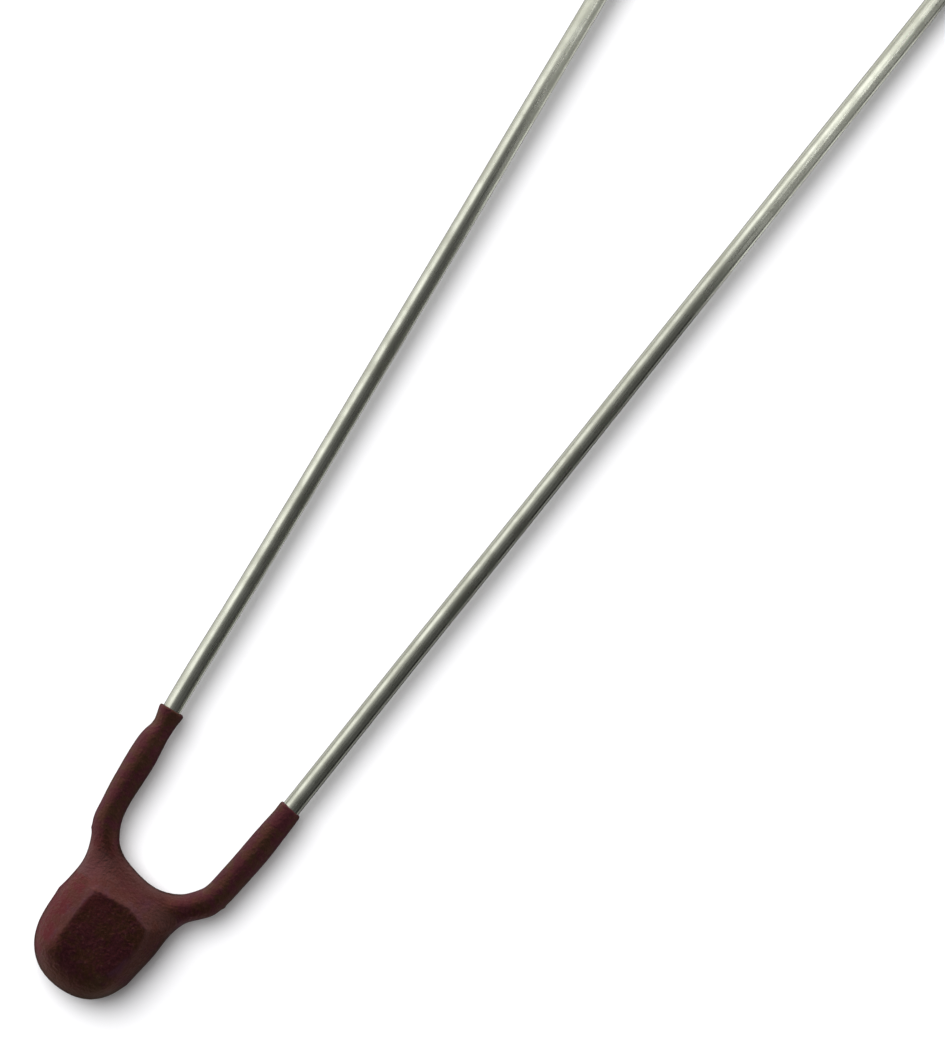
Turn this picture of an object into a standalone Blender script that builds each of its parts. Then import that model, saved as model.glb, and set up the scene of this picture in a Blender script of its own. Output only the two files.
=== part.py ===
"""Temperature-sensing resistor: a ceramic chip in a dipped resin coating, with two bare leads.

Units are metres, written as millimetres times MM. +X runs across the bead, +Y runs along it
towards the lead tips and +Z points up. The origin is the middle of the bead's flat underside,
which lies on the same level as the two lead tips.
"""

import math

import bmesh
import bpy
from mathutils import Vector

MM = 0.001

# Wire, and the gap that every piece keeps to its neighbour
WIRE_RADIUS = 0.25 * MM
FIT_GAP = 0.01 * MM

# Ceramic chip and its two silver faces
CHIP_WIDTH = 1.50 * MM
CHIP_LENGTH = 1.60 * MM
CHIP_THICKNESS = 1.50 * MM
CHIP_MIDDLE_Y = 0.08 * MM
CHIP_EDGE_BREAK = 0.03 * MM
ELECTRODE_THICKNESS = 0.02 * MM
ELECTRODE_BORDER = 0.04 * MM

# Resin over the chip's two large faces, and the level that everything in the bead is centred on
FACE_COAT = 0.13 * MM
MID_LEVEL = CHIP_THICKNESS / 2 + FACE_COAT

# Solder fillets between each wire and its silver face
SOLDER_REACH = 0.38 * MM
SOLDER_HALF_LENGTH = 0.55 * MM
SOLDER_HALF_HEIGHT = 0.40 * MM
SOLDER_MIDDLE_Y = 0.25 * MM

# Leads: corners of each wire's path in plan, in millimetres. The coated stretch runs from where
# the wire leaves the chip to its collar, and the bare stretch runs on to the cut tip. Over the
# bow's length before its tip a lead bends down to rest on the underside's level.
LEAD_START_Y = -0.15 * MM
LEAD_TIP_Y = 40.0 * MM
LEFT_TIP_X = -4.20 * MM
RIGHT_TIP_X = 4.465 * MM
LEAD_BEND_RADIUS = 1.2 * MM
LEAD_BEND_STEPS = 3
LONGEST_ARC_SHARE = 0.45
SLIGHT_TURN = math.radians(5)
BOW_LENGTH = 14.0 * MM
BOW_STEPS = 5
COLLAR_OVERRUN = 0.35 * MM
LEFT_COATED_CORNERS = (
    (-1.18, 1.75), (-1.48, 2.35), (-1.635, 2.95), (-1.745, 4.10), (-1.768, 5.44), (-1.836, 6.02),
)
LEFT_BARE_CORNERS = ((-2.06, 9.66),)
LEFT_TURN_Y = 1.25 * MM
RIGHT_COATED_CORNERS = (
    (1.13, 1.35), (1.42, 1.82), (1.80, 2.28), (1.915, 2.70), (2.015, 3.57), (2.14, 4.88),
    (2.185, 5.60),
)
RIGHT_BARE_CORNERS = ()
RIGHT_TURN_Y = 0.95 * MM

# Bead, row by row from the low end up: the left edge, the left and right limits of the raised
# face, the right edge, then how far the face lies below the bead's flat top and how far the
# flank lies above the middle level.
BEAD_ROWS = (
    ((-1.29, -1.10), (-0.80, -0.98), (0.80, -1.00), (1.06, -1.10), 0.00, 0.52),
    ((-1.52, -0.58), (-0.88, -0.58), (0.92, -0.58), (1.30, -0.58), 0.00, 0.44),
    ((-1.59, -0.01), (-0.88, -0.01), (0.97, -0.01), (1.38, -0.01), 0.00, 0.44),
    ((-1.61, 0.48), (-0.86, 0.48), (1.00, 0.48), (1.44, 0.48), 0.00, 0.44),
    ((-1.52, 1.00), (-0.77, 1.04), (0.90, 0.92), (1.47, 1.00), 0.00, 0.43),
    ((-1.50, 1.39), (-0.86, 1.39), (0.92, 1.36), (1.55, 1.39), 0.28, 0.40),
    ((-1.54, 1.68), (-0.88, 1.70), (1.02, 1.66), (1.69, 1.68), 0.43, 0.37),
)
FACE_TOP_ROW = 4
FACE_SPANS = 4
# The face's top edge has a blunt corner past its middle: the places of its five points along a
# straight line, and how far they, and those of the next row, stand above it
EVEN_SHARES = (0.0, 0.25, 0.50, 0.75, 1.0)
FACE_TOP_SHARES = (0.0, 0.29, 0.58, 0.79, 1.0)
FACE_TOP_RISES = (0.0, 0.085, 0.17, 0.085, 0.0)
NEXT_ROW_RISES = (0.0, 0.05, 0.10, 0.06, 0.0)
NO_RISES = (0.0, 0.0, 0.0, 0.0, 0.0)
FLANK_SHARE = 0.86
# Low end of the bead between its two lower corners
LOW_END = ((-0.79, -1.52), (-0.08, -1.66), (0.60, -1.52))
LOW_FLANK_SHARE = 0.70
LOW_FLANK_HEIGHT = 0.52
# Lowest point of the web between the legs
CROTCH = (0.30, 1.91)

# Coated legs, row by row from the web to the collar: outer edge, inner edge. The first rows also
# state half of their thickness; the others are round.
LEFT_LEG_ROWS = (
    ((-1.64, 1.98), (-0.65, 2.12), 0.37),
    ((-1.82, 2.26), (-0.99, 2.38), 0.36),
    ((-1.92, 2.53), (-1.17, 2.68), 0.36),
    ((-1.99, 2.95), (-1.28, 3.03)),
    ((-2.06, 3.47), (-1.33, 3.47)),
    ((-2.12, 4.09), (-1.35, 4.09)),
    ((-2.15, 4.64), (-1.38, 4.62)),
    ((-2.13, 5.11), (-1.45, 5.13)),
    ((-2.07, 5.42), (-1.47, 5.45)),
    ((-2.11, 5.68), (-1.47, 5.71)),
    ((-2.16, 5.95), (-1.48, 6.00)),
)
RIGHT_LEG_ROWS = (
    ((1.98, 2.00), (0.95, 2.06), 0.37),
    ((2.16, 2.29), (1.23, 2.27), 0.36),
    ((2.26, 2.51), (1.43, 2.53), 0.36),
    ((2.27, 2.72), (1.53, 2.74), 0.36),
    ((2.32, 3.08), (1.59, 3.08)),
    ((2.38, 3.57), (1.65, 3.57)),
    ((2.45, 4.22), (1.72, 4.22)),
    ((2.49, 4.88), (1.79, 4.88)),
    ((2.51, 5.32), (1.85, 5.34)),
    ((2.49, 5.58), (1.885, 5.66)),
)

# How firmly the edges of the raised face and the rims of the collars hold their corner
FACE_EDGE_CREASE = 0.65
FADING_EDGE_CREASE = 0.30
COLLAR_CREASE = 0.45
NOTCH_CREASE = 0.50
NOTCH_ROW = 15
# Corners that stay pointed where the dip ran into facets: three of the face's, then the outline's
# left shoulder, low right, both knees and the notch under the left collar
POINTED_CORNERS = {
    ("face_0", 4): 0.90,
    ("face_2", 4): 0.75,
    ("face_4", 4): 0.85,
    ("outer_left", 3): 0.55,
    ("outer_right", 1): 0.55,
    ("outer_left", 8): 0.60,
    ("outer_right", 9): 0.60,
    ("outer_left", NOTCH_ROW): 0.70,
}
SMOOTHING_LEVELS = 2
SETTLE_ROUNDS = 8
# A six-sided ring smoothed into a round leg: the height of its upper corners for a given half
# thickness, and their places between the outer and inner edges
RING_HEIGHT = 48 / 46
RING_SHARES = (0.25, 0.75)
SHARP_ANGLE = math.radians(50)
WELD_DISTANCE = 0.001 * MM


def make_material(name, colour, roughness, metallic):
    material = bpy.data.materials.new(name)
    material.use_nodes = True
    material.diffuse_color = (*colour, 1.0)
    shader = material.node_tree.nodes["Principled BSDF"]
    shader.inputs["Base Color"].default_value = (*colour, 1.0)
    shader.inputs["Roughness"].default_value = roughness
    shader.inputs["Metallic"].default_value = metallic
    return material


def add_object(name, data, collection, material=None):
    item = bpy.data.objects.new(name, data)
    collection.objects.link(item)
    if material is not None:
        data.materials.append(material)
    return item


def shade_round(mesh):
    mesh.shade_smooth()
    mesh.set_sharp_from_angle(angle=SHARP_ANGLE)


def mesh_from(name, shape):
    bmesh.ops.recalc_face_normals(shape, faces=shape.faces)
    mesh = bpy.data.meshes.new(name)
    shape.to_mesh(mesh)
    shape.free()
    return mesh


def box_mesh(name, size):
    shape = bmesh.new()
    bmesh.ops.create_cube(shape, size=1.0)
    bmesh.ops.scale(shape, vec=size, verts=shape.verts)
    return mesh_from(name, shape)


def solder_mesh(name, side, growth):
    """Half of an egg shape, flat towards the chip, before the wire's channel is cut."""
    shape = bmesh.new()
    bmesh.ops.create_uvsphere(shape, u_segments=20, v_segments=12, radius=1.0)
    size = (SOLDER_REACH + growth, SOLDER_HALF_LENGTH + growth, SOLDER_HALF_HEIGHT + growth)
    bmesh.ops.scale(shape, vec=size, verts=shape.verts)
    everything = shape.verts[:] + shape.edges[:] + shape.faces[:]
    cut = bmesh.ops.bisect_plane(
        shape, geom=everything, plane_co=(-side * growth, 0, 0), plane_no=(-side, 0, 0),
        clear_outer=True)
    rim = [part for part in cut["geom_cut"] if isinstance(part, bmesh.types.BMEdge)]
    bmesh.ops.contextual_create(shape, geom=rim)
    mesh = mesh_from(name, shape)
    shade_round(mesh)
    return mesh


def rounded_path(corners, radius, steps):
    """The corners joined by straight runs, with an arc of short steps at each turn."""
    path = [corners[0]]
    for before, corner, after in zip(corners, corners[1:], corners[2:]):
        back = (before - corner).normalized()
        onward = (after - corner).normalized()
        turn = math.pi - back.angle(onward)
        if turn < SLIGHT_TURN:
            path.append(corner)
            continue
        shorter_run = min((before - corner).length, (after - corner).length)
        reach = min(radius * math.tan(turn / 2), shorter_run * LONGEST_ARC_SHARE)
        start = corner + back * reach
        end = corner + onward * reach
        for step in range(steps + 1):
            share = step / steps
            path.append(start * (1 - share) ** 2 + corner * 2 * share * (1 - share)
                        + end * share ** 2)
    path.append(corners[-1])
    return path


def wire_curve(name, path, radius):
    curve = bpy.data.curves.new(name, "CURVE")
    curve.dimensions = "3D"
    curve.bevel_depth = radius
    curve.bevel_resolution = 4
    curve.use_fill_caps = True
    spline = curve.splines.new("POLY")
    spline.points.add(len(path) - 1)
    for point, place in zip(spline.points, path):
        point.co = (*place, 1.0)
    return curve


def coated_route(side, turn_y, corners):
    """One wire's corners inside the coating, level with the middle of the chip."""
    seat_x = side * (CHIP_WIDTH / 2 + ELECTRODE_THICKNESS + 2 * FIT_GAP + WIRE_RADIUS)
    start = [Vector((seat_x, LEAD_START_Y, MID_LEVEL)), Vector((seat_x, turn_y, MID_LEVEL))]
    return start + [Vector((x * MM, y * MM, MID_LEVEL)) for x, y in corners]


def bare_route(collar, corners, tip_x):
    """One wire's corners outside the coating: level, then bowed down until the tip rests."""
    route = [collar] + [Vector((x * MM, y * MM, MID_LEVEL)) for x, y in corners]
    tip = Vector((tip_x, LEAD_TIP_Y, MID_LEVEL))
    bow_start = tip.lerp(route[-1], BOW_LENGTH / (tip.y - route[-1].y))
    bow = []
    for step in range(BOW_STEPS + 1):
        share = step / BOW_STEPS
        place = bow_start.lerp(tip, share)
        place.z -= (MID_LEVEL - WIRE_RADIUS) * share ** 2
        bow.append(place)
    return route[1:] + bow


def cage_grid():
    """Target outline and free points of the half cage, keyed by column and row."""
    outline = {}
    heights = {}
    for row, (left, _, _, right, face_drop, flank_height) in enumerate(BEAD_ROWS):
        outline["outer_left", row] = Vector(left)
        outline["outer_right", row] = Vector(right)
        heights["face", row] = MID_LEVEL / MM - face_drop
        heights["flank", row] = flank_height
    for column, place in zip(("low_1", "low_2", "low_3"), LOW_END):
        outline[column, 0] = Vector(place)
    first_leg_row = len(BEAD_ROWS)
    outline["face_2", first_leg_row] = Vector(CROTCH)
    for rows, outer, inner in ((LEFT_LEG_ROWS, "outer_left", "face_1"),
                               (RIGHT_LEG_ROWS, "outer_right", "face_3")):
        for step, (outer_edge, inner_edge, *half_thickness) in enumerate(rows):
            row = first_leg_row + step
            outline[outer, row] = Vector(outer_edge)
            outline[inner, row] = Vector(inner_edge)
            width = (outline[outer, row] - outline[inner, row]).length
            heights[outer, row] = half_thickness[0] if half_thickness else width / 2
    return outline, heights


def cage_points(outline, heights):
    """Every point of the half cage in millimetres, with the mirror plane at height zero."""
    points = {key: Vector((*place, 0.0)) for key, place in outline.items()}
    for row, (_, face_left, face_right, _, _, _) in enumerate(BEAD_ROWS):
        left = Vector((*face_left, heights["face", row]))
        right = Vector((*face_right, heights["face", row]))
        shares = FACE_TOP_SHARES if row == FACE_TOP_ROW else EVEN_SHARES
        rises = {FACE_TOP_ROW: FACE_TOP_RISES, FACE_TOP_ROW + 1: NEXT_ROW_RISES}
        for column, (share, rise) in enumerate(zip(shares, rises.get(row, NO_RISES))):
            points["face_%d" % column, row] = left.lerp(right, share) + Vector((0, rise, 0))
        for side, edge in (("left", left), ("right", right)):
            flank = edge.lerp(points["outer_" + side, row], FLANK_SHARE)
            flank.z = heights["flank", row]
            points["flank_" + side, row] = flank
    for column in (1, 2, 3):
        face = points["face_%d" % column, 0]
        flank = face.lerp(points["low_%d" % column, 0], LOW_FLANK_SHARE)
        flank.z = LOW_FLANK_HEIGHT
        points["low_flank_%d" % column, 0] = flank
    for outer, flank, crest, inner in (("outer_left", "flank_left", "face_0", "face_1"),
                                       ("outer_right", "flank_right", "face_4", "face_3")):
        row = len(BEAD_ROWS)
        while (outer, row) in points:
            height = Vector((0, 0, heights[outer, row] * RING_HEIGHT))
            for column, share in zip((flank, crest), RING_SHARES):
                place = points[outer, row].lerp(points[inner, row], share)
                points[column, row] = place + height
            row += 1
    return points


def cage_faces(points):
    """Four-sided faces between neighbouring columns and rows, the low end and the collar ends."""
    columns = ("outer_left", "flank_left", "face_0", "face_1", "face_2", "face_3", "face_4",
               "flank_right", "outer_right")
    faces = []
    row = 0
    while ("outer_left", row) in points or ("outer_right", row) in points:
        for here, there in zip(columns, columns[1:]):
            corners = ((here, row), (there, row), (there, row + 1), (here, row + 1))
            if all(corner in points for corner in corners):
                faces.append(corners)
        row += 1
    rings = (("face_0", "face_1", "face_2", "face_3", "face_4"),
             ("flank_left", "low_flank_1", "low_flank_2", "low_flank_3", "flank_right"),
             ("outer_left", "low_1", "low_2", "low_3", "outer_right"))
    for upper, lower in zip(rings, rings[1:]):
        for step in range(FACE_SPANS):
            faces.append(((upper[step], 0), (lower[step], 0), (lower[step + 1], 0),
                          (upper[step + 1], 0)))
    for ring, rows in ((("outer_left", "flank_left", "face_0", "face_1"), LEFT_LEG_ROWS),
                       (("face_3", "face_4", "flank_right", "outer_right"), RIGHT_LEG_ROWS)):
        last_row = len(BEAD_ROWS) + len(rows) - 1
        faces.append(tuple((column, last_row) for column in ring))
    return faces


def cage_creases():
    """Edges that stay crisp: the raised face's sides and top, and the collars' rims."""
    creases = {}
    for row in range(FACE_TOP_ROW):
        creases[("face_0", row), ("face_0", row + 1)] = FACE_EDGE_CREASE
        creases[("face_4", row), ("face_4", row + 1)] = FACE_EDGE_CREASE
    creases[("face_0", 0), ("face_0", 1)] = FADING_EDGE_CREASE
    creases[("face_4", 0), ("face_4", 1)] = 0.0
    creases[("face_4", 1), ("face_4", 2)] = FADING_EDGE_CREASE
    for column in range(FACE_SPANS):
        start = "face_%d" % column
        end = "face_%d" % (column + 1)
        creases[(start, FACE_TOP_ROW), (end, FACE_TOP_ROW)] = FACE_EDGE_CREASE
    for ring, rows in ((("outer_left", "flank_left", "face_0", "face_1"), LEFT_LEG_ROWS),
                       (("face_3", "face_4", "flank_right", "outer_right"), RIGHT_LEG_ROWS)):
        last_row = len(BEAD_ROWS) + len(rows) - 1
        for here, there in zip(ring, ring[1:]):
            creases[(here, last_row), (there, last_row)] = COLLAR_CREASE
    creases[("outer_left", NOTCH_ROW), ("flank_left", NOTCH_ROW)] = NOTCH_CREASE
    return creases


def build_coating(collection, material):
    """The dipped coating, smoothed from a cage whose outline ends up on the stated points."""
    outline, heights = cage_grid()
    wanted = {key: place.copy() for key, place in outline.items()}
    points = cage_points(outline, heights)
    order = list(points)
    index = {key: number for number, key in enumerate(order)}
    faces = [tuple(index[corner] for corner in face) for face in cage_faces(points)]
    mesh = bpy.data.meshes.new("coating")
    mesh.from_pydata([points[key] * MM for key in order], [], faces)
    mesh.update()
    shape = bmesh.new()
    shape.from_mesh(mesh)
    bmesh.ops.recalc_face_normals(shape, faces=shape.faces)
    if sum(face.normal.z for face in shape.faces) < 0:
        bmesh.ops.reverse_faces(shape, faces=shape.faces)
    crease_layer = shape.edges.layers.float.new("crease_edge")
    corner_layer = shape.verts.layers.float.new("crease_vert")
    shape.verts.ensure_lookup_table()
    for corner, firmness in POINTED_CORNERS.items():
        shape.verts[index[corner]][corner_layer] = firmness
    for (start, end), firmness in cage_creases().items():
        edge = shape.edges.get((shape.verts[index[start]], shape.verts[index[end]]))
        edge[crease_layer] = firmness
    shape.to_mesh(mesh)
    shape.free()
    coating = add_object("coating", mesh, collection, material)
    coating.location.z = MID_LEVEL
    mirror = coating.modifiers.new("mirror", "MIRROR")
    mirror.use_axis = (False, False, True)
    mirror.use_clip = True
    mirror.merge_threshold = WELD_DISTANCE
    smoothing = coating.modifiers.new("smoothing", "SUBSURF")
    smoothing.levels = SMOOTHING_LEVELS
    smoothing.render_levels = SMOOTHING_LEVELS
    for _ in range(SETTLE_ROUNDS):
        bpy.context.view_layer.update()
        smooth = coating.evaluated_get(bpy.context.evaluated_depsgraph_get())
        reached = smooth.to_mesh()
        for key, place in wanted.items():
            spot = reached.vertices[index[key]].co / MM
            outline[key] += place - spot.xy
        smooth.to_mesh_clear()
        points = cage_points(outline, heights)
        for key, number in index.items():
            mesh.vertices[number].co = points[key] * MM
        mesh.update()
    shade_round(mesh)
    return coating


def cut_away(target, cutter):
    modifier = target.modifiers.new("cut " + cutter.name, "BOOLEAN")
    modifier.operation = "DIFFERENCE"
    modifier.solver = "EXACT"
    modifier.object = cutter


def channel_cutter(name, coated, onward, collection):
    """A tube around one wire with the fit gap all round, running out past the collar."""
    start = coated[0] - Vector((0, FIT_GAP, 0))
    end = coated[-1] + (onward - coated[-1]).normalized() * COLLAR_OVERRUN
    corners = [start] + coated[1:] + [end]
    path = rounded_path(corners, LEAD_BEND_RADIUS, LEAD_BEND_STEPS)
    line = add_object(name + "_line", wire_curve(name + "_line", path, WIRE_RADIUS + FIT_GAP),
                      collection)
    bpy.context.view_layer.update()
    depsgraph = bpy.context.evaluated_depsgraph_get()
    mesh = bpy.data.meshes.new_from_object(line.evaluated_get(depsgraph))
    shape = bmesh.new()
    shape.from_mesh(mesh)
    bmesh.ops.remove_doubles(shape, verts=shape.verts, dist=WELD_DISTANCE)
    bmesh.ops.recalc_face_normals(shape, faces=shape.faces)
    shape.to_mesh(mesh)
    shape.free()
    cutter = add_object(name, mesh, collection)
    cutter.matrix_world = line.matrix_world
    bpy.data.objects.remove(line)
    return cutter


def add_cutter(name, mesh, place, collection):
    cutter = add_object(name, mesh, collection)
    cutter.location = place
    return cutter


def build():
    for item in list(bpy.data.objects):
        bpy.data.objects.remove(item)
    scene = bpy.context.scene
    parts = bpy.data.collections.new("ntc_thermistor")
    cutters = bpy.data.collections.new("cutters")
    scene.collection.children.link(parts)
    scene.collection.children.link(cutters)

    resin = make_material("dipped_resin", (0.070, 0.024, 0.022), 0.55, 0.0)
    tin = make_material("tinned_wire", (0.62, 0.62, 0.57), 0.28, 1.0)
    ceramic = make_material("metal_oxide_ceramic", (0.045, 0.045, 0.048), 0.60, 0.0)
    silver = make_material("fired_silver", (0.72, 0.71, 0.68), 0.45, 1.0)
    solder = make_material("solder", (0.55, 0.55, 0.54), 0.35, 1.0)

    coating = build_coating(parts, resin)

    chip = add_object("ceramic_chip", box_mesh("ceramic_chip", (
        CHIP_WIDTH, CHIP_LENGTH, CHIP_THICKNESS)), parts, ceramic)
    chip.location = (0, CHIP_MIDDLE_Y, MID_LEVEL)
    edge_break = chip.modifiers.new("edge_break", "BEVEL")
    edge_break.width = CHIP_EDGE_BREAK
    edge_break.segments = 1

    pocket_half_width = CHIP_WIDTH / 2 + 2 * FIT_GAP + ELECTRODE_THICKNESS
    pocket = add_cutter("chip_pocket", box_mesh("chip_pocket", (
        2 * pocket_half_width, CHIP_LENGTH + 2 * FIT_GAP, CHIP_THICKNESS + 2 * FIT_GAP)),
        (0, CHIP_MIDDLE_Y, MID_LEVEL), cutters)
    cut_away(coating, pocket)

    for side, name, turn_y, coated_corners, bare_corners, tip_x in (
            (-1, "left", LEFT_TURN_Y, LEFT_COATED_CORNERS, LEFT_BARE_CORNERS, LEFT_TIP_X),
            (1, "right", RIGHT_TURN_Y, RIGHT_COATED_CORNERS, RIGHT_BARE_CORNERS, RIGHT_TIP_X)):
        coated = coated_route(side, turn_y, coated_corners)
        bare = bare_route(coated[-1], bare_corners, tip_x)
        path = rounded_path(coated + bare, LEAD_BEND_RADIUS, LEAD_BEND_STEPS)
        add_object("lead_" + name, wire_curve("lead_" + name, path, WIRE_RADIUS), parts, tin)
        channel = channel_cutter("channel_" + name, coated, bare[0], cutters)

        plate_x = side * (CHIP_WIDTH / 2 + FIT_GAP + ELECTRODE_THICKNESS / 2)
        plate = add_object("electrode_" + name, box_mesh("electrode_" + name, (
            ELECTRODE_THICKNESS, CHIP_LENGTH - 2 * ELECTRODE_BORDER,
            CHIP_THICKNESS - 2 * ELECTRODE_BORDER)), parts, silver)
        plate.location = (plate_x, CHIP_MIDDLE_Y, MID_LEVEL)

        joint_x = side * pocket_half_width
        joint = add_object("solder_" + name, solder_mesh("solder_" + name, side, 0.0), parts,
                           solder)
        joint.location = (joint_x, SOLDER_MIDDLE_Y, MID_LEVEL)
        cut_away(joint, channel)

        room = add_cutter("solder_room_" + name, solder_mesh("room_" + name, side, FIT_GAP),
                          (joint_x, SOLDER_MIDDLE_Y, MID_LEVEL), cutters)
        cut_away(coating, room)
        cut_away(coating, channel)

    for cutter in cutters.objects:
        cutter.hide_render = True
        cutter.display_type = "WIRE"
    bpy.context.view_layer.update()


build()
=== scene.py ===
import math

import bmesh
import bpy
from mathutils import Matrix, Vector, noise


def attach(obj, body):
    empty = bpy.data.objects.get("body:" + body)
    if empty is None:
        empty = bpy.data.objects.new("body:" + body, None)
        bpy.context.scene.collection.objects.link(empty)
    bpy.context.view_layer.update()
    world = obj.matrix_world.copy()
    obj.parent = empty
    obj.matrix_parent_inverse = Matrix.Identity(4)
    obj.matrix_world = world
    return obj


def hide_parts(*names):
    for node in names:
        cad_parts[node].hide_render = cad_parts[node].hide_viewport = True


MM = 0.001

# The photograph looks straight down on the part. A pixel spans this much of the part, and these
# are the part's place in the middle of the picture and the turn of the picture round it.
PHOTO_HEIGHT_PIXELS = 1042
MM_PER_PIXEL = 0.026
PHOTO_CENTRE = Vector((1.79, 14.45, 0.88))
PHOTO_TURN = math.radians(34.8)
LENS_MM = 300
SENSOR_MM = 36
NEAREST_SEEN = 0.01

# Directions on the part, whose legs run along y and whose flat face looks up
LEFTWARDS = (-1, 0, 0)
LEGWARDS = (0, 1, 0)
UPWARDS = (0, 0, 1)
TO_LEFT_SHOULDER = (-0.8, 0.6, 0)

# Skin of the dipped coat, in millimetres
SKIN_GRAIN = 0.03
SKIN_SMOOTHING = 0.5
SKIN_SMOOTHING_ROUNDS = 4
RUNNEL_LENGTH = 0.75
RUNNEL_HEIGHT = 0.009
PEEL_LENGTH = 0.16
PEEL_HEIGHT = 0.0022
STUB_DEPTH = 0.03
MERGE_DISTANCE = 0.0001

# Tinned wire, in millimetres. It is dressed from a place along the part that lies inside the leg,
# and leaves the coat at the middle of its collar.
WIRE_RADIUS = 0.25
WIRE_SIDES = 40
WIRE_STEP = 0.10
WIRE_PATH_STEPS = 24
WIRE_START = 3.9
RING_GATHER = 0.05
WAVER_LENGTH = 5.0
WAVER_HEIGHT = 0.012
RIPPLE_LENGTH = 0.45
RIPPLE_HEIGHT = 0.003
CUT_END_ANGLE = math.radians(50)
COLLARS = {"lead_left": Vector((-1.834, 5.985, 0.88)), "lead_right": Vector((2.186, 5.62, 0.88))}
PAST_COLLAR = 0.1

SEED = 7

# Tones of the resin, and of the light and shade painted on it, as linear red, green and blue. A
# pattern runs from the first of a pair to the second.
BROWN_TONES = ((0.029, 0.0178, 0.0064), (0.057, 0.0285, 0.0126))
PLUM_TONES = ((0.033, 0.0088, 0.0140), (0.063, 0.0168, 0.0265))
# Painted light: a redder, lighter tone laid over the face towards the left shoulder
PAINTED_LIGHT_RED = (0.070, 0.0170, 0.0150)
LOW_END_BROWN = (0.048, 0.0310, 0.0050)
LOW_RIGHT_OLIVE = (0.064, 0.0540, 0.0190)
OLIVE_TO_PLUM = ((0.050, 0.0380, 0.0160), (0.064, 0.0180, 0.0330))
# Painted shade: a dark tone for the web between the legs
WEB_PAINTED_SHADE = (0.022, 0.0120, 0.0070)
RUST_TO_CRIMSON = ((0.074, 0.0200, 0.0030), (0.084, 0.0020, 0.0120))
# Painted sheen, running from dusky to mauve, over the chip's edges and the shoulder
PAINTED_SHEEN_DUSK_TO_MAUVE = ((0.066, 0.0440, 0.0350), (0.074, 0.0340, 0.0600))
# Painted highlight: a light rose on the left shoulder
PAINTED_SHOULDER_HIGHLIGHT = (0.110, 0.0620, 0.0590)
SPECK = (0.130, 0.090, 0.070)
SHEEN_TINT = (1.0, 0.275, 0.27)

# Patterns in the resin, as repeats in a metre, and how far two of them push the edges of the
# resin's zones about, in millimetres
SWELLS = 1300.0
CLOUDS = 2600.0
SPECK_CELLS = 4500.0
BLOTCHES = 6000.0
GRAIN = 14000.0
STRAY = 1.1
FINE_STRAY = 0.3

# Tin: its clean and its clouded tone, and its patterns as repeats in a metre. The streaks are drawn
# out along the wire.
CLEAN_TIN = (0.66, 0.675, 0.585)
CLOUDED_TIN = (0.56, 0.572, 0.485)
TIN_CLOUDS = 1400.0
TIN_STREAKS = 16000.0
STREAK_DRAW = 0.02

# Finishes sealed in the coat: dark and light tone, roughness, how metallic, and repeats of the
# grain in a metre
INNER_FINISHES = {
    "sawn ceramic": ((0.035, 0.035, 0.038), (0.060, 0.060, 0.062), 0.7, 0.0, 20000.0),
    "fired silver": ((0.66, 0.65, 0.62), (0.78, 0.77, 0.74), 0.5, 1.0, 30000.0),
    "solder": ((0.48, 0.48, 0.47), (0.60, 0.60, 0.59), 0.35, 1.0, 8000.0),
}
INNER_PIECES = {
    "ceramic_chip": "sawn ceramic",
    "electrode_left": "fired silver",
    "electrode_right": "fired silver",
    "solder_left": "solder",
    "solder_right": "solder",
}

# Soft lights of the room: degrees from overhead, degrees round from the picture's right, how far
# each is full and where it is gone, in degrees from its middle, and how bright it is
SOFT_LIGHTS = (
    (95, 105, 8, 32, 0.90),
    (62, 100, 8, 32, 0.50),
    (40, 100, 8, 35, 0.44),
    (72, 150, 8, 32, 0.31),
    (48, 142, 6, 32, 0.29),
    (60, 178, 8, 35, 0.40),
    (65, 65, 8, 35, 0.46),
    (62, 40, 8, 32, 0.13),
    (85, 10, 8, 35, 0.36),
    (84, 354, 8, 32, 0.14),
    (108, 145, 10, 40, 0.59),
    (115, 110, 8, 35, 0.55),
    (108, 55, 8, 35, 0.98),
    (110, 182, 8, 35, 0.45),
    (110, 215, 10, 40, 0.43),
    (76, 235, 8, 34, 0.09),
    (112, 285, 10, 40, 0.27),
)
ROOM_TINT = (1.0, 0.985, 0.96)
BACKDROP = (0.93, 0.93, 0.93)
# Lamps that light only the wires: degrees from overhead and round, energy on the left wire and on
# the right one
WIRE_LAMP_WIDTH = 24
WIRE_LAMPS = (
    (12, 147, 0.0345, 0.0470),
    (40, 147, 0.0958, 0.0550),
    (54, 147, 0.0496, 0.0739),
    (70, 147, 0.0886, 0.0845),
    (90, 147, 0.0367, 0.0),
    (115, 147, 0.0173, 0.0),
    (140, 147, 0.0586, 0.0547),
    (12, 325, 0.0213, 0.0229),
    (28, 325, 0.0083, 0.0112),
    (46, 325, 0.0140, 0.0108),
    (66, 325, 0.0077, 0.0132),
    (115, 325, 0.0352, 0.0385),
    (140, 325, 0.1007, 0.0144),
)
# Lamps that light only the coat: degrees from overhead and round, energy
COAT_LAMP_WIDTH = 100
COAT_LAMPS = (
    (65, 330, 0.23),
    (140, 325, 0.045),
)
# Small cards that light only the wires and face the place where they leave the picture: millimetres
# right and up from the middle of the picture and above the floor, width in millimetres, energy
FAR_CARDS = (
    (18.4, 5.7, 6.8, 12.0, 0.00014),
    (12.5, 16.0, 15.0, 14.0, 0.00053),
    (16.0, 5.0, -6.0, 10.0, 0.00018),
    (4.0, 16.0, 10.0, 8.0, 0.00012),
    (13.0, 9.0, 12.0, 8.0, 0.00005),
)
CARDS_FACE = Vector((8.0, 13.0, 0.9))
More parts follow.
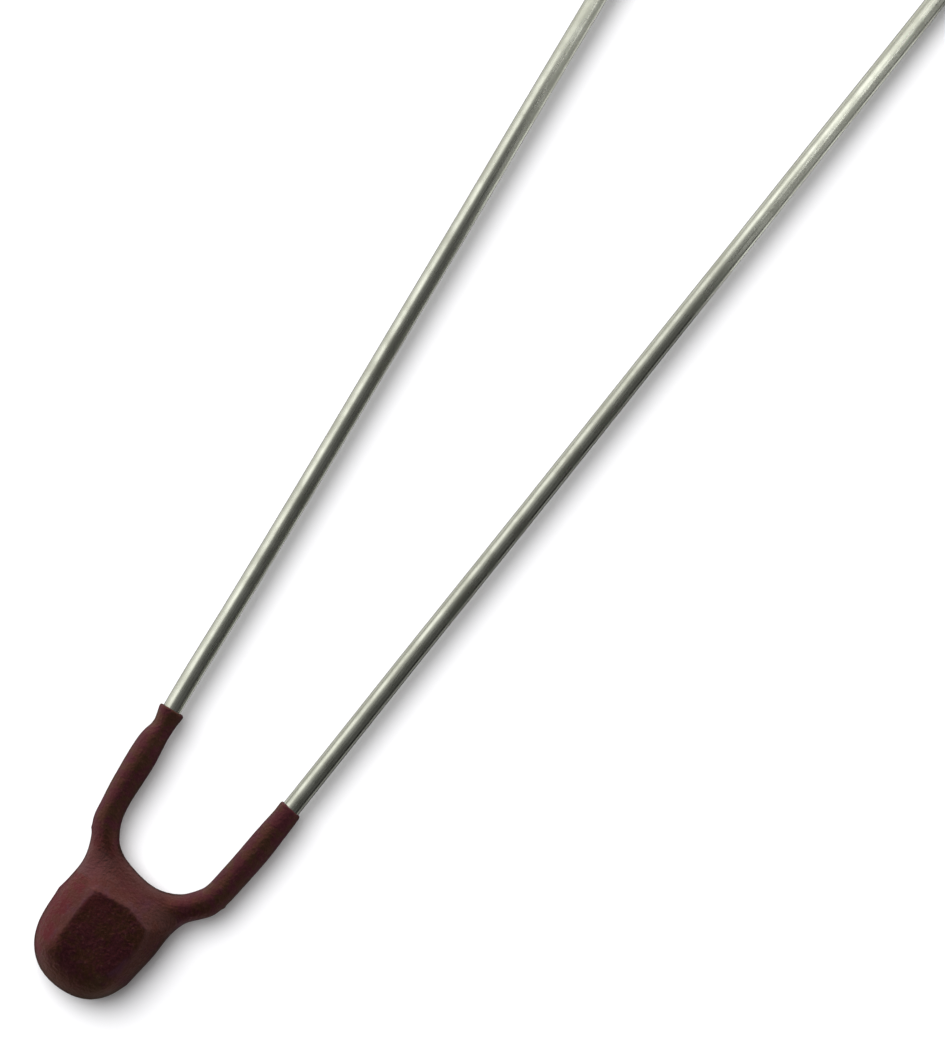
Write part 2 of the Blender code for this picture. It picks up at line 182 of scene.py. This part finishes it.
# Pale floor: half its width in metres, its colour and faint glow, and its own lamp, from the
# picture's upper left: degrees from overhead and round, width in degrees, energy
FLOOR_HALF_WIDTH = 4.0
FLOOR_COLOUR = (0.80, 0.80, 0.817)
FLOOR_GLOW = 0.12
FLOOR_LAMP = (23.1, 123.7, 40, 3.4)
WHITE = (1, 1, 1)


def add_to_scene(name, data):
    """A new object in the scene."""
    thing = bpy.data.objects.new(name, data)
    bpy.context.scene.collection.objects.link(thing)
    return thing


def from_overhead(lean, turn):
    """Direction that leans away from overhead, turned round from the picture's right."""
    away = Matrix.Rotation(math.radians(lean), 3, "Y") @ Vector((0, 0, 1))
    return Matrix.Rotation(PHOTO_TURN + math.radians(turn), 3, "Z") @ away


def place_camera():
    """The photograph's view, from far enough for its picture to be as tall as the photograph's."""
    data = bpy.data.cameras.new("camera")
    data.type = "PERSP"
    data.lens = LENS_MM
    data.sensor_width = SENSOR_MM
    data.clip_start = NEAREST_SEEN
    camera = add_to_scene("camera", data)
    distance = PHOTO_HEIGHT_PIXELS * MM_PER_PIXEL * LENS_MM / SENSOR_MM
    camera.location = (PHOTO_CENTRE + Vector((0, 0, distance))) * MM
    camera.rotation_euler = (0, 0, PHOTO_TURN)
    bpy.context.scene.camera = camera


class Nodes:
    """Short calls for laying out the nodes of a tree."""

    def __init__(self, tree):
        self.tree = tree
        tree.nodes.clear()

    def add(self, kind, **sockets):
        """A node with some of its sockets fed, named with _ for each space."""
        node = self.tree.nodes.new(kind)
        for name, value in sockets.items():
            self.feed(node.inputs[name.replace("_", " ")], value)
        return node

    def feed(self, socket, value):
        """Link a socket to another node's, or set its number, vector or colour."""
        if isinstance(value, bpy.types.NodeSocket):
            self.tree.links.new(value, socket)
        elif socket.type == "RGBA":
            socket.default_value = (*value, 1)
        else:
            socket.default_value = value

    def math(self, operation, *values):
        node = self.tree.nodes.new("ShaderNodeMath")
        node.operation = operation
        for socket, value in zip(node.inputs, values):
            self.feed(socket, value)
        return node.outputs[0]

    def times(self, product, *values):
        """Product of all the values."""
        for value in values:
            product = self.math("MULTIPLY", product, value)
        return product

    def along(self, vector, direction):
        """How far a vector reaches in a direction."""
        node = self.tree.nodes.new("ShaderNodeVectorMath")
        node.operation = "DOT_PRODUCT"
        self.feed(node.inputs[0], vector)
        self.feed(node.inputs[1], direction)
        return node.outputs["Value"]

    def noise(self, place, scale, detail=2.0, roughness=0.5):
        return self.add("ShaderNodeTexNoise", Vector=place, Scale=scale, Detail=detail,
                        Roughness=roughness).outputs["Fac"]

    def ramp(self, value, low, high, at_low=0.0, at_high=1.0):
        """A smooth step of a value between low and high."""
        node = self.tree.nodes.new("ShaderNodeMapRange")
        node.interpolation_type = "SMOOTHSTEP"
        for socket, number in zip(node.inputs, (value, low, high, at_low, at_high)):
            self.feed(socket, number)
        return node.outputs[0]

    def zone(self, distance, gone, full, least=0.0, most=1.0):
        """A smooth step of a distance, from where a zone is gone to where it is full, in
        millimetres."""
        return self.ramp(distance, gone * MM, full * MM, least, most)

    def stray(self, distance, pattern, reach):
        """A distance pushed about by a pattern, over a reach in millimetres."""
        push = self.math("MULTIPLY_ADD", pattern, reach * MM, -reach / 2 * MM)
        return self.math("ADD", distance, push)

    def blend(self, share, first, second):
        """A colour that runs from the first to the second as the share grows."""
        node = self.tree.nodes.new("ShaderNodeMix")
        node.data_type = "RGBA"
        for socket, value in ((node.inputs["Factor"], share), (node.inputs[6], first),
                              (node.inputs[7], second)):
            self.feed(socket, value)
        return node.outputs[2]

    def surface(self, shader, relief, strength, height):
        """The tree's result: a shader with a fine relief, its height in millimetres."""
        bump = self.add("ShaderNodeBump", Height=relief, Strength=strength, Distance=height * MM)
        self.feed(shader.inputs["Normal"], bump.outputs[0])
        self.add("ShaderNodeOutputMaterial", Surface=shader.outputs[0])


def nodes_of(owner):
    """The nodes of a material or a world, cleared."""
    owner.use_nodes = True
    return Nodes(owner.node_tree)


def light_the_studio():
    """A dark room with soft lights all round, which only the part shows. The camera sees a plain
    pale backdrop."""
    world = bpy.data.worlds.new("studio")
    bpy.context.scene.world = world
    nodes = nodes_of(world)
    towards = nodes.add("ShaderNodeTexCoord").outputs["Generated"]
    strength = 0.0
    for lean, turn, full, gone, brightness in SOFT_LIGHTS:
        nearness = nodes.along(towards, from_overhead(lean, turn))
        glow = nodes.ramp(nearness, math.cos(math.radians(gone)), math.cos(math.radians(full)))
        strength = nodes.math("MULTIPLY_ADD", glow, brightness, strength)
    room = nodes.add("ShaderNodeBackground", Color=ROOM_TINT, Strength=strength)
    backdrop = nodes.add("ShaderNodeBackground", Color=BACKDROP, Strength=1.0)
    seen = nodes.add("ShaderNodeLightPath").outputs["Is Camera Ray"]
    choice = nodes.add("ShaderNodeMixShader", Fac=seen)
    nodes.feed(choice.inputs[1], room.outputs[0])
    nodes.feed(choice.inputs[2], backdrop.outputs[0])
    nodes.add("ShaderNodeOutputWorld", Surface=choice.outputs[0])


def group_of(name, pieces):
    group = bpy.data.collections.new(name)
    for piece in pieces:
        group.objects.link(piece)
    return group


def light_only(lamp, lit_pieces, shading_pieces):
    """Light some pieces alone, and let only the shading pieces, if any, stand in its way."""
    links = lamp.light_linking
    links.receiver_collection = group_of("lit by the " + lamp.name, lit_pieces)
    if shading_pieces:
        links.blocker_collection = group_of("in the way of the " + lamp.name, shading_pieces)


def soft_lamp(name, lean, turn, width, energy, lit_pieces, shading_pieces=()):
    """A broad far lamp that lights only the given pieces."""
    data = bpy.data.lights.new(name, "SUN")
    data.energy = energy
    data.angle = math.radians(width)
    lamp = add_to_scene(name, data)
    lamp.rotation_mode = "QUATERNION"
    lamp.rotation_quaternion = from_overhead(lean, turn).to_track_quat("Z", "Y")
    light_only(lamp, lit_pieces, shading_pieces)


def far_card(place, width, energy, lit_pieces, shading_pieces):
    """A dim card that brightens the wires where they leave the picture."""
    data = bpy.data.lights.new("far card", "AREA")
    data.size = width * MM
    data.energy = energy
    card = add_to_scene("far card", data)
    turn = Matrix.Rotation(PHOTO_TURN, 3, "Z")
    card.location = (Vector((PHOTO_CENTRE.x, PHOTO_CENTRE.y, 0)) + turn @ place) * MM
    card.rotation_mode = "QUATERNION"
    card.rotation_quaternion = (turn @ (place - CARDS_FACE)).to_track_quat("Z", "Y")
    card.visible_camera = False
    light_only(card, lit_pieces, shading_pieces)


def lay_floor():
    """A pale light table under the part. Its own lamp casts the soft shadow."""
    shape = bmesh.new()
    bmesh.ops.create_grid(shape, x_segments=1, y_segments=1, size=FLOOR_HALF_WIDTH)
    mesh = bpy.data.meshes.new("floor")
    shape.to_mesh(mesh)
    shape.free()
    floor = add_to_scene("floor", mesh)
    material = bpy.data.materials.new("pale floor")
    nodes = nodes_of(material)
    card = nodes.add("ShaderNodeBsdfPrincipled", Base_Color=FLOOR_COLOUR, Roughness=0.9,
                     Specular_IOR_Level=0.0, Emission_Color=WHITE, Emission_Strength=FLOOR_GLOW)
    nodes.add("ShaderNodeOutputMaterial", Surface=card.outputs[0])
    mesh.materials.append(material)
    floor.visible_diffuse = False
    floor.visible_glossy = False
    soft_lamp("floor lamp", *FLOOR_LAMP, [floor])


def resin_material():
    """Satin maroon dip resin, mottled in brown and plum, with a colour for each zone of the coat.
    Over these lie painted light and shade: a redder painted light towards the left shoulder, a
    painted rose highlight on that shoulder, a painted mauve sheen over the chip's edges and the
    shoulder, and painted shade in the web between the legs."""
    material = bpy.data.materials.new("dipped resin")
    nodes = nodes_of(material)
    zone, times = nodes.zone, nodes.times
    place = nodes.add("ShaderNodeTexCoord").outputs["Object"]
    swells = nodes.noise(place, SWELLS)
    clouds = nodes.noise(place, CLOUDS, detail=3.0, roughness=0.6)
    blotches = nodes.noise(place, BLOTCHES, roughness=0.6)
    grain = nodes.noise(place, GRAIN, roughness=0.6)
    patchy = nodes.ramp(clouds, 0.36, 0.60, at_low=0.45)
    level = nodes.along(place, UPWARDS)
    height = nodes.stray(level, blotches, FINE_STRAY)
    leftwards = nodes.stray(nodes.along(place, LEFTWARDS), clouds, STRAY)
    legwards = nodes.stray(nodes.along(place, LEGWARDS), clouds, STRAY)
    off_middle = nodes.math("ABSOLUTE", leftwards)

    mottle = nodes.math("MULTIPLY_ADD", swells, 0.6, times(blotches, 0.4))
    shade = nodes.ramp(grain, 0.35, 0.65)
    colour = nodes.blend(nodes.ramp(mottle, 0.44, 0.55), nodes.blend(shade, *BROWN_TONES),
                         nodes.blend(shade, *PLUM_TONES))
    leg_tone = nodes.blend(nodes.ramp(clouds, 0.42, 0.56), *OLIVE_TO_PLUM)
    flank_tone = nodes.blend(nodes.ramp(clouds, 0.36, 0.50), *RUST_TO_CRIMSON)
    painted_sheen_tone = nodes.blend(nodes.ramp(swells, 0.43, 0.57), *PAINTED_SHEEN_DUSK_TO_MAUVE)

    # Painted light: the resin turns redder and lighter towards the left shoulder
    painted_light_to_shoulder = zone(nodes.along(place, TO_LEFT_SHOULDER), gone=0.0, full=1.2)
    low_end = zone(legwards, gone=-0.9, full=-1.5)
    low_right = times(zone(leftwards, gone=-0.3, full=-0.7), zone(legwards, gone=-0.5, full=-0.9))
    legs = zone(legwards, gone=1.9, full=2.6, most=0.9)
    # Painted shade darkens the web between the legs
    web_painted_shade = times(zone(legwards, gone=1.4, full=1.8), zone(off_middle, gone=1.1, full=0.6))
    flank = times(zone(leftwards, gone=0.95, full=1.20), zone(legwards, gone=2.1, full=1.5))
    # Painted sheen: mauve along the face's top edges and over the shoulder
    edges = times(zone(height, gone=1.56, full=1.70), zone(level, gone=1.757, full=1.745),
                  zone(legwards, gone=-0.8, full=-0.4))
    shoulder_sheen = times(zone(legwards, gone=1.05, full=1.20), zone(legwards, gone=1.75, full=1.50),
                     zone(off_middle, gone=0.2, full=0.6, least=0.1))
    painted_sheen = nodes.math("MAXIMUM", edges, shoulder_sheen)
    # Painted highlight: a light rose laid on the left shoulder
    painted_highlight_zone = times(zone(leftwards, gone=0.4, full=0.8), zone(legwards, gone=1.1, full=1.4),
                          zone(legwards, gone=2.1, full=1.7, most=0.7))
    cells = nodes.add("ShaderNodeTexVoronoi", Vector=place, Scale=SPECK_CELLS)
    flecks = times(nodes.ramp(cells.outputs["Distance"], 0.16, 0.08), nodes.ramp(grain, 0.45, 0.60))
    specks = nodes.math("MAXIMUM", flecks, nodes.ramp(grain, 0.60, 0.74))
    for share, tone in ((times(painted_light_to_shoulder, patchy, 0.8), PAINTED_LIGHT_RED),
                        (times(low_end, patchy), LOW_END_BROWN),
                        (times(low_right, patchy), LOW_RIGHT_OLIVE),
                        (legs, leg_tone),
                        (web_painted_shade, WEB_PAINTED_SHADE),
                        (times(flank, patchy), flank_tone),
                        (times(painted_sheen, patchy), painted_sheen_tone),
                        (painted_highlight_zone, PAINTED_SHOULDER_HIGHLIGHT),
                        (times(specks, 0.45), SPECK)):
        colour = nodes.blend(share, colour, tone)

    dull = nodes.math("ADD", nodes.ramp(clouds, 0.3, 0.7, at_low=0.34, at_high=0.46),
                      zone(legwards, gone=1.8, full=2.6, most=0.10))
    shader = nodes.add("ShaderNodeBsdfPrincipled", Base_Color=colour, Roughness=dull, IOR=1.6,
                       Specular_IOR_Level=1.0, Specular_Tint=SHEEN_TINT)
    nodes.surface(shader, nodes.math("ADD", grain, blotches), strength=1.0, height=0.020)
    return material


def tin_material():
    """Bright tin drawn along the wire, with faint streaks and a few duller clouds."""
    material = bpy.data.materials.new("bright tin")
    nodes = nodes_of(material)
    place = nodes.add("ShaderNodeTexCoord").outputs["Object"]
    drawn = nodes.add("ShaderNodeMapping", Vector=place, Scale=(1, STREAK_DRAW, 1)).outputs[0]
    streaks = nodes.noise(drawn, TIN_STREAKS)
    clouds = nodes.noise(place, TIN_CLOUDS, detail=3.0)
    colour = nodes.blend(nodes.ramp(clouds, 0.35, 0.7), CLEAN_TIN, CLOUDED_TIN)
    dull = nodes.math("ADD", nodes.ramp(clouds, 0.3, 0.75, at_low=0.18, at_high=0.30),
                      nodes.ramp(streaks, 0.4, 0.7, at_high=0.06))
    shader = nodes.add("ShaderNodeBsdfPrincipled", Base_Color=colour, Roughness=dull, Metallic=1.0)
    nodes.surface(shader, streaks, strength=0.15, height=0.004)
    return material


def inner_material(name, dark, light, roughness, metallic, scale):
    """Finish of a piece sealed in the coat: two close tones in a fine grain."""
    material = bpy.data.materials.new(name)
    nodes = nodes_of(material)
    place = nodes.add("ShaderNodeTexCoord").outputs["Object"]
    grain = nodes.noise(place, scale, detail=4.0)
    colour = nodes.blend(nodes.ramp(grain, 0.35, 0.65), dark, light)
    shader = nodes.add("ShaderNodeBsdfPrincipled", Base_Color=colour, Roughness=roughness,
                       Metallic=metallic)
    nodes.surface(shader, grain, strength=0.3, height=0.005)
    return material


def finish_inner_pieces(cad):
    materials = {name: inner_material(name, *look) for name, look in INNER_FINISHES.items()}
    for name, finish in INNER_PIECES.items():
        node = cad[name]
        node.data.materials.clear()
        node.data.materials.append(materials[finish])


def copy_of(node):
    """A merged copy of a solid's mesh, in millimetres."""
    shape = bmesh.new()
    shape.from_mesh(node.data)
    bmesh.ops.scale(shape, vec=(1 / MM,) * 3, verts=shape.verts)
    bmesh.ops.remove_doubles(shape, verts=shape.verts, dist=MERGE_DISTANCE)
    return shape


def wire_rings(node, beyond):
    """Middles of a wire's rings of corners past a length along the part, in millimetres."""
    shape = copy_of(node)
    corners = sorted((vertex.co.copy() for vertex in shape.verts), key=lambda place: place.y)
    shape.free()
    rings = [[corners[0]]]
    for before, corner in zip(corners, corners[1:]):
        if corner.y - before.y > RING_GATHER:
            rings.append([])
        rings[-1].append(corner)
    middles = [sum(ring, Vector()) / len(ring) for ring in rings]
    return [middle for middle in middles if middle.y > beyond]


def cut_to_stub(shape, middle, onward):
    """Cut a wire off just inside its collar and close the cut."""
    everything = shape.verts[:] + shape.edges[:] + shape.faces[:]
    cut = bmesh.ops.bisect_plane(shape, geom=everything, plane_no=onward,
                                 plane_co=middle - onward * STUB_DEPTH, clear_outer=True)
    rim = [part for part in cut["geom_cut"] if isinstance(part, bmesh.types.BMEdge)]
    bmesh.ops.contextual_create(shape, geom=rim)


def filled_coat(cad, collar_ends):
    """The coat with all that it holds, so that its skin has no inside, in millimetres."""
    whole = bmesh.new()
    filling = bpy.data.meshes.new("filling")
    for name in ("coating", *INNER_PIECES, *collar_ends):
        shape = copy_of(cad[name])
        if name in collar_ends:
            cut_to_stub(shape, *collar_ends[name])
        shape.to_mesh(filling)
        shape.free()
        whole.from_mesh(filling)
    bpy.data.meshes.remove(filling)
    mesh = bpy.data.meshes.new("coat")
    whole.to_mesh(mesh)
    whole.free()
    return mesh


def dress_coat(cad, material, collar_ends):
    """The dipped coat's outer skin, with shallow runnels and a fine orange peel."""
    mesh = filled_coat(cad, collar_ends)
    coat = add_to_scene("coat", mesh)
    remesh = coat.modifiers.new("grain", "REMESH")
    remesh.mode = "VOXEL"
    remesh.voxel_size = SKIN_GRAIN
    smooth = coat.modifiers.new("smooth", "SMOOTH")
    smooth.factor = SKIN_SMOOTHING
    smooth.iterations = SKIN_SMOOTHING_ROUNDS
    depsgraph = bpy.context.evaluated_depsgraph_get()
    skin = bpy.data.meshes.new_from_object(coat.evaluated_get(depsgraph))
    coat.modifiers.clear()
    coat.data = skin
    bpy.data.meshes.remove(mesh)
    shift = Vector((SEED, 2 * SEED, 3 * SEED))
    outwards = [vertex.normal.copy() for vertex in skin.vertices]
    for vertex, normal in zip(skin.vertices, outwards):
        place = vertex.co
        lift = noise.noise((place + shift) / RUNNEL_LENGTH) * RUNNEL_HEIGHT
        lift += noise.noise((place - shift) / PEEL_LENGTH) * PEEL_HEIGHT
        vertex.co = place + normal * lift
    skin.transform(Matrix.Scale(MM, 4))
    skin.shade_smooth()
    skin.materials.clear()
    skin.materials.append(material)
    skin.name = "coat"
    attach(coat, "root")
    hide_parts("coating")
    return coat


def wire_tree(material):
    """Geometry nodes that sweep a round section along a path and ripple the tin on it."""
    tree = bpy.data.node_groups.new("tinned wire", "GeometryNodeTree")
    face = tree.interface
    face.new_socket("Geometry", in_out="INPUT", socket_type="NodeSocketGeometry")
    for name in ("Radius", "Step", "Ripple length", "Ripple height"):
        face.new_socket(name, in_out="INPUT", socket_type="NodeSocketFloat")
    face.new_socket("Sides", in_out="INPUT", socket_type="NodeSocketInt")
    face.new_socket("Geometry", in_out="OUTPUT", socket_type="NodeSocketGeometry")
    nodes = Nodes(tree)
    given = nodes.add("NodeGroupInput").outputs
    path = nodes.add("GeometryNodeResampleCurve", Curve=given["Geometry"])
    path.mode = "LENGTH"
    nodes.feed(path.inputs["Length"], given["Step"])
    section = nodes.add("GeometryNodeCurvePrimitiveCircle", Resolution=given["Sides"],
                        Radius=given["Radius"])
    sweep = nodes.add("GeometryNodeCurveToMesh", Curve=path.outputs[0],
                      Profile_Curve=section.outputs[0], Fill_Caps=True)
    stretch = nodes.add("ShaderNodeVectorMath")
    stretch.operation = "DIVIDE"
    nodes.feed(stretch.inputs[0], nodes.add("GeometryNodeInputPosition").outputs[0])
    nodes.feed(stretch.inputs[1], given["Ripple length"])
    waves = nodes.noise(stretch.outputs[0], scale=1.0, detail=1.0)
    height = nodes.times(nodes.math("SUBTRACT", waves, 0.5), given["Ripple height"])
    outwards = nodes.add("ShaderNodeVectorMath")
    outwards.operation = "SCALE"
    nodes.feed(outwards.inputs[0], nodes.add("GeometryNodeInputNormal").outputs[0])
    nodes.feed(outwards.inputs["Scale"], height)
    move = nodes.add("GeometryNodeSetPosition", Geometry=sweep.outputs[0],
                     Offset=outwards.outputs[0])
    real = nodes.add("GeometryNodeRealizeInstances", Geometry=move.outputs[0])
    painted = nodes.add("GeometryNodeSetMaterial", Geometry=real.outputs[0], Material=material)
    nodes.feed(nodes.add("NodeGroupOutput").inputs[0], painted.outputs[0])
    return tree


def swept_wire(name, route, tree):
    """Mesh of a round wire along a smooth path through the places of its route."""
    data = bpy.data.curves.new(name, "CURVE")
    data.dimensions = "3D"
    data.resolution_u = WIRE_PATH_STEPS
    spline = data.splines.new("BEZIER")
    spline.bezier_points.add(len(route) - 1)
    for point, place in zip(spline.bezier_points, route):
        point.co = place
        point.handle_left_type = "AUTO"
        point.handle_right_type = "AUTO"
    path = add_to_scene(name, data)
    sweep = path.modifiers.new("wire", "NODES")
    sweep.node_group = tree
    sizes = {"Radius": WIRE_RADIUS, "Sides": WIRE_SIDES, "Step": WIRE_STEP,
             "Ripple length": RIPPLE_LENGTH, "Ripple height": RIPPLE_HEIGHT}
    for socket in tree.interface.items_tree:
        if socket.name in sizes:
            sweep[socket.identifier] = sizes[socket.name]
    bpy.context.view_layer.update()
    depsgraph = bpy.context.evaluated_depsgraph_get()
    mesh = bpy.data.meshes.new_from_object(path.evaluated_get(depsgraph))
    bpy.data.objects.remove(path)
    bpy.data.curves.remove(data)
    return mesh


def dress_lead(name, route, tree, side):
    """One smooth tinned wire through the middles of its solid's rings, slightly out of true."""
    mesh = swept_wire(name, route, tree)
    noise.seed_set(SEED)  # Unseeded, noise_vector takes its offsets from the clock
    shift = Vector((side * SEED, SEED, 0))
    straight_until = route[1].y
    for vertex in mesh.vertices:
        run = Vector((0, vertex.co.y, 0))
        fade = min(1, max(0, (vertex.co.y - straight_until) / WAVER_LENGTH))
        offset = noise.noise_vector((run + shift) / WAVER_LENGTH) * (WAVER_HEIGHT * fade)
        vertex.co += Vector((offset.x, 0, offset.z))
    mesh.transform(Matrix.Scale(MM, 4))
    mesh.shade_smooth()
    mesh.set_sharp_from_angle(angle=CUT_END_ANGLE)
    lead = add_to_scene(name + "_wire", mesh)
    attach(lead, "root")
    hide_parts(name)
    return lead


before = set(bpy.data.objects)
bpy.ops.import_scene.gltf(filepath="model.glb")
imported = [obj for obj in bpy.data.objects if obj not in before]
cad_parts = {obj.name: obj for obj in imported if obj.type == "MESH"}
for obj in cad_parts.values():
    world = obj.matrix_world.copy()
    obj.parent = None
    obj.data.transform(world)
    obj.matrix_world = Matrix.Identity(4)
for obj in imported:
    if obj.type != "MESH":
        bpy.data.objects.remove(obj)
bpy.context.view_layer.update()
bpy.context.scene.view_settings.view_transform = "Standard"
place_camera()
light_the_studio()
lay_floor()
finish_inner_pieces(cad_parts)

tree = wire_tree(tin_material())
collar_ends = {}
wires = []
for name, side in (("lead_left", -1), ("lead_right", 1)):
    route = wire_rings(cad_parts[name], WIRE_START)
    collar = COLLARS[name]
    past = next(ring for ring in route if ring.y > collar.y + PAST_COLLAR)
    collar_ends[name] = (collar, (past - collar).normalized())
    wires.append(dress_lead(name, route, tree, side))
coat = dress_coat(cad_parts, resin_material(), collar_ends)
in_the_way = [*wires, coat]
for lean, turn, *energies in WIRE_LAMPS:
    for wire, energy in zip(wires, energies):
        if energy:
            soft_lamp("wire lamp", lean, turn, WIRE_LAMP_WIDTH, energy, [wire], in_the_way)
for lean, turn, energy in COAT_LAMPS:
    soft_lamp("coat lamp", lean, turn, COAT_LAMP_WIDTH, energy, [coat], in_the_way)
for right, up, above, width, energy in FAR_CARDS:
    far_card(Vector((right, up, above)), width, energy, wires, in_the_way)
